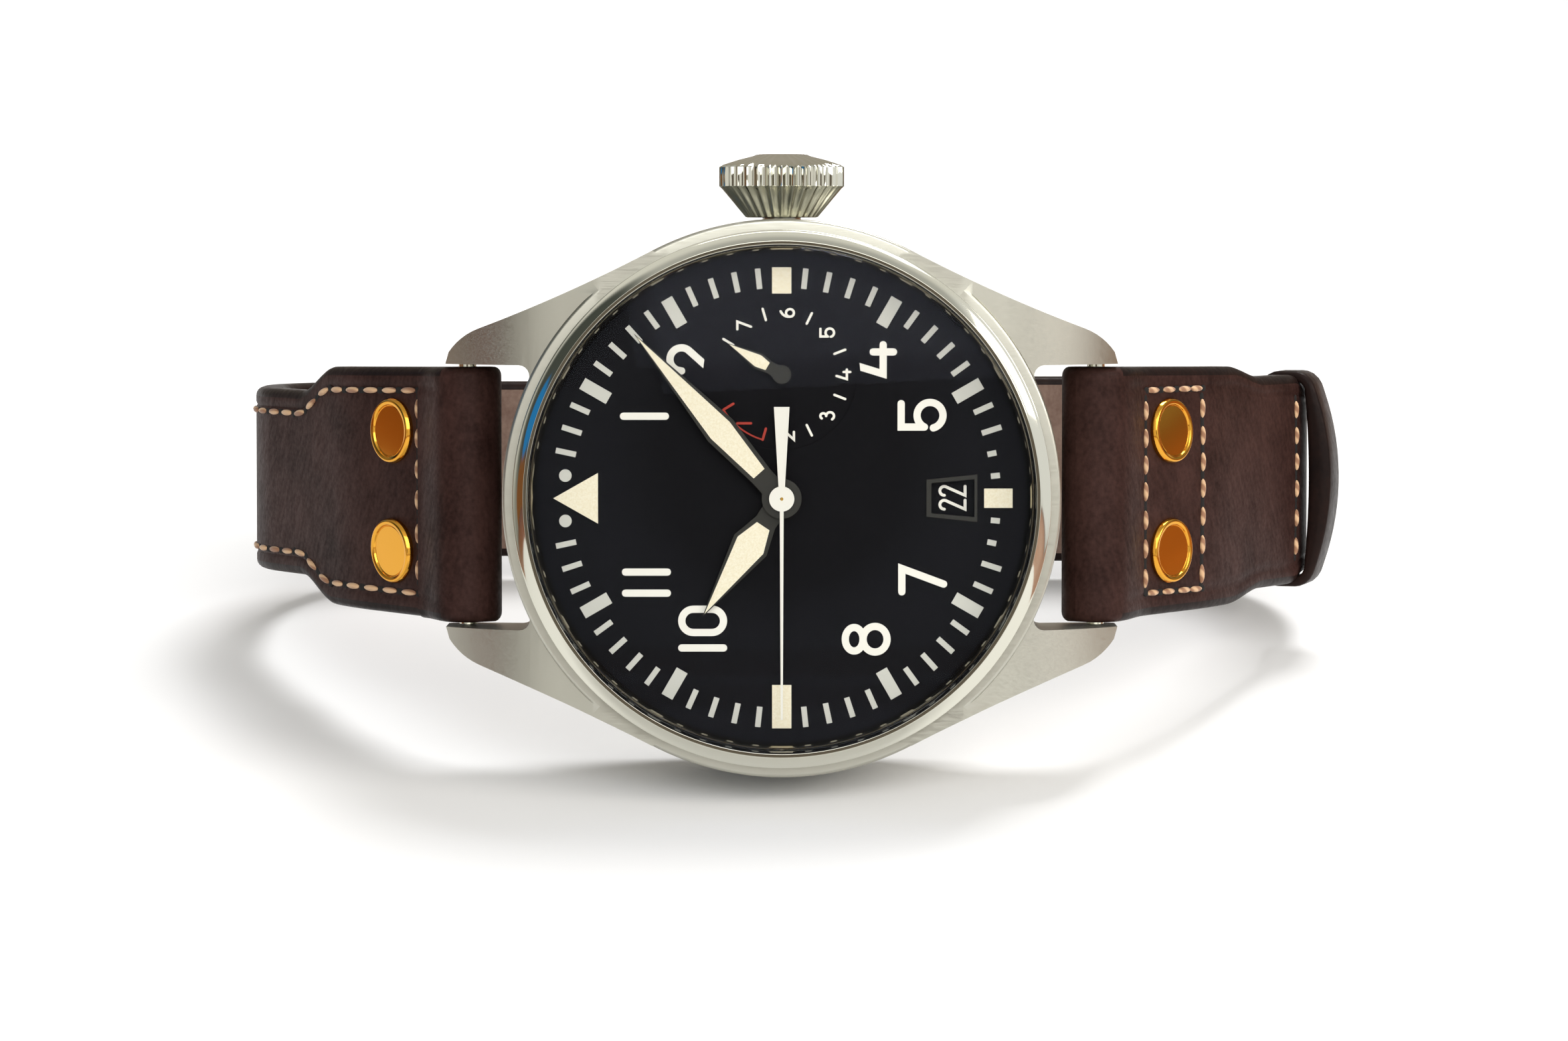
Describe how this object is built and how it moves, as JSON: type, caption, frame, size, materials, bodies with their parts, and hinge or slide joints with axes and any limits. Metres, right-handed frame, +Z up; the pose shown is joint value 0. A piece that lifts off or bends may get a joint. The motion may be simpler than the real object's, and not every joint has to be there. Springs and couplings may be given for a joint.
{
  "type": "wristwatch",
  "caption": "Pilot watch with a black dial, power-reserve subdial, domed crystal, conical crown, riveted leather strap and folding clasp, standing on its side.",
  "frame": {"origin": "centre of the bounding box's bottom face, on the surface that the watch stands on", "axes": "+X toward six o'clock, along the dial and level; -Y the way the dial faces, leaning back; +Z up, toward three o'clock and the crown"},
  "size_m": [0.0956, 0.0672, 0.0516],
  "materials": {
    "satin_steel": "satin-brushed",
    "polished_steel": "polished",
    "sapphire": "clear, anti-reflective",
    "dial_black": "fine matte",
    "white_print": "matte print",
    "grey_print": "matte print",
    "cream_lume": "luminous paint",
    "red_print": "matte print",
    "black_metal": "satin",
    "white_lacquer": "gloss lacquer",
    "rhodium": "frosted plating",
    "brass": "polished",
    "soft_iron": "plain",
    "steel_fine": "polished",
    "gasket": "matte",
    "leather": "smooth grain"
  },
  "bodies": {
    "case": {"mid_case": "satin_steel", "bezel": "polished_steel", "crystal": "sapphire", "crystal_gasket": "gasket", "dial_flange": "dial_black", "case_back": "satin_steel", "case_back_gasket": "gasket", "crown_tube": "polished_steel", "iron_cover": "soft_iron", "movement_ring": "rhodium", "dial": "dial_black", "dial_numerals": "white_print", "minute_track": "grey_print", "hour_markers": "cream_lume", "reserve_scale": "white_print", "reserve_low_mark": "red_print", "date_window_frame": "black_metal", "main_plate": "rhodium", "train_bridge": "rhodium", "bridge_screws": "steel_fine", "balance_cock": "rhodium", "rotor_bearing": "steel_fine", "lug_spring_bars": "steel_fine"},
    "seconds": {"fourth_wheel": "brass", "seconds_hand": "white_lacquer"},
    "center": {"center_wheel": "brass"},
    "third": {"third_wheel": "brass"},
    "escape": {"escape_wheel": "steel_fine"},
    "mainspring_barrel": {"barrel": "brass"},
    "minutes": {"cannon_pinion": "steel_fine", "minute_hand": "black_metal", "minute_hand_lume": "cream_lume"},
    "hours": {"hour_wheel": "brass", "hour_hand": "black_metal", "hour_hand_lume": "cream_lume"},
    "motion_works": {"minute_wheel": "brass"},
    "date": {"date_disc": "dial_black", "date_numerals": "white_print"},
    "reserve": {"reserve_hand": "black_metal", "reserve_hand_lume": "cream_lume"},
    "balance": {"balance_wheel": "brass", "hairspring": "steel_fine"},
    "pallets": {"pallet_fork": "steel_fine"},
    "rotor": {"winding_rotor": "steel_fine"},
    "winding": {"winding_pinion": "steel_fine"},
    "crown_and_stem": {"crown": "polished_steel", "winding_stem": "steel_fine", "crown_gasket": "gasket"},
    "winding_transfer": {"crown_wheel": "steel_fine"},
    "ratchet": {"ratchet_wheel": "steel_fine"},
    "strap_twelve": {"strap_upper": "leather", "upper_rivets": "brass", "clasp_cover": "satin_steel", "clasp_upper_bar": "steel_fine"},
    "strap_six": {"strap_lower": "leather", "lower_rivets": "brass", "clasp_base": "satin_steel", "clasp_lower_bars": "steel_fine"},
    "clasp_link": {"clasp_leaf": "satin_steel"},
    "keeper": {"strap_keeper": "leather"}
  },
  "joints": [
    {"name": "train_run", "type": "hinge", "parent": "case", "child": "seconds", "pos_m": [-0.00056, -0.02018, 0.02319], "axis": [0, 0.9682, -0.2501], "continuous": true},
    {"name": "center_turn", "type": "hinge", "parent": "case", "child": "center", "pos_m": [-0.00056, -0.02221, 0.02372], "axis": [0, 0.9682, -0.2501], "continuous": true},
    {"name": "third_turn", "type": "hinge", "parent": "case", "child": "third", "pos_m": [-0.00056, -0.02324, 0.01655], "axis": [0, 0.9682, -0.2501], "continuous": true},
    {"name": "escape_turn", "type": "hinge", "parent": "case", "child": "escape", "pos_m": [-0.00745, -0.02174, 0.02234], "axis": [0, 0.9682, -0.2501], "continuous": true},
    {"name": "barrel_turn", "type": "hinge", "parent": "case", "child": "mainspring_barrel", "pos_m": [0.00555, -0.01991, 0.02943], "axis": [0, 0.9682, -0.2501], "continuous": true},
    {"name": "hands_set", "type": "hinge", "parent": "center", "child": "minutes", "pos_m": [-0.00056, -0.02434, 0.02427], "axis": [0, 0.9682, -0.2501], "continuous": true},
    {"name": "hour_turn", "type": "hinge", "parent": "case", "child": "hours", "pos_m": [-0.00056, -0.02434, 0.02427], "axis": [0, 0.9682, -0.2501], "continuous": true},
    {"name": "motion_turn", "type": "hinge", "parent": "case", "child": "motion_works", "pos_m": [-0.00368, -0.02434, 0.02427], "axis": [0, 0.9682, -0.2501], "continuous": true},
    {"name": "date_turn", "type": "hinge", "parent": "case", "child": "date", "pos_m": [-0.00056, -0.02434, 0.02427], "axis": [0, 0.9682, -0.2501], "continuous": true},
    {"name": "reserve_run_down", "type": "hinge", "parent": "case", "child": "reserve", "pos_m": [-0.00056, -0.02275, 0.03444], "axis": [0, 0.9682, -0.2501], "range_deg": [0, 296]},
    {"name": "balance_swing", "type": "hinge", "parent": "case", "child": "balance", "pos_m": [-0.01376, -0.02168, 0.01859], "axis": [0, 0.9682, -0.2501], "range_deg": [-270, 270], "stiffness_Nm_per_rad": 0.0000005},
    {"name": "pallet_rock", "type": "hinge", "parent": "case", "child": "pallets", "pos_m": [-0.0109, -0.02214, 0.02078], "axis": [0, 0.9682, -0.2501], "range_deg": [-5, 5]},
    {"name": "rotor_turn", "type": "hinge", "parent": "case", "child": "rotor", "pos_m": [-0.00056, -0.01824, 0.02269], "axis": [0, 0.9682, -0.2501], "continuous": true},
    {"name": "winding_turn", "type": "hinge", "parent": "case", "child": "winding", "pos_m": [-0.00056, -0.01566, 0.04588], "axis": [0, 0.2501, 0.9682], "continuous": true},
    {"name": "crown_pull", "type": "slide", "parent": "winding", "child": "crown_and_stem", "axis": [0, 0.2501, 0.9682], "range_m": [0, 0.0015]},
    {"name": "crown_wheel_turn", "type": "hinge", "parent": "case", "child": "winding_transfer", "pos_m": [0.00144, -0.01646, 0.03639], "axis": [0, 0.9682, -0.2501], "continuous": true},
    {"name": "ratchet_turn", "type": "hinge", "parent": "case", "child": "ratchet", "pos_m": [0.00555, -0.01836, 0.02903], "axis": [0, 0.9682, -0.2501], "continuous": true},
    {"name": "strap_twelve_swing", "type": "hinge", "parent": "case", "child": "strap_twelve", "pos_m": [-0.02696, -0.01776, 0.02257], "axis": [0, 0.2501, 0.9682], "range_deg": [0, 39.32]},
    {"name": "strap_six_swing", "type": "hinge", "parent": "case", "child": "strap_six", "pos_m": [0.02584, -0.01776, 0.02257], "axis": [0, -0.2501, -0.9682], "range_deg": [0, 13.76]},
    {"name": "clasp_unfold", "type": "hinge", "parent": "strap_six", "child": "clasp_link", "pos_m": [-0.01506, 0.02872, 0.01056], "axis": [0, 0.2501, 0.9682], "range_deg": [0, 175.04]},
    {"name": "keeper_slide", "type": "hinge", "parent": "strap_six", "child": "keeper", "pos_m": [0.02934, 0.01498, 0.01411], "axis": [0, 0.2501, 0.9682], "range_deg": [-5.4, 5.4]}
  ],
  "couplings": [
    {"joint": "center_turn", "follows": "train_run", "ratio": 0.016667},
    {"joint": "third_turn", "follows": "train_run", "ratio": -0.13333},
    {"joint": "escape_turn", "follows": "train_run", "ratio": -9},
    {"joint": "barrel_turn", "follows": "train_run", "ratio": -0.0020833},
    {"joint": "hour_turn", "follows": "hands_set", "ratio": 0.083333},
    {"joint": "motion_turn", "follows": "hands_set", "ratio": -0.33333},
    {"joint": "date_turn", "follows": "hands_set", "ratio": -0.0013441},
    {"joint": "crown_wheel_turn", "follows": "winding_turn", "ratio": 0.375},
    {"joint": "ratchet_turn", "follows": "winding_turn", "ratio": -0.3},
    {"joint": "strap_six_swing", "follows": "strap_twelve_swing", "ratio": 0.35},
    {"joint": "clasp_unfold", "follows": "strap_twelve_swing", "ratio": 4.4515}
  ]
}
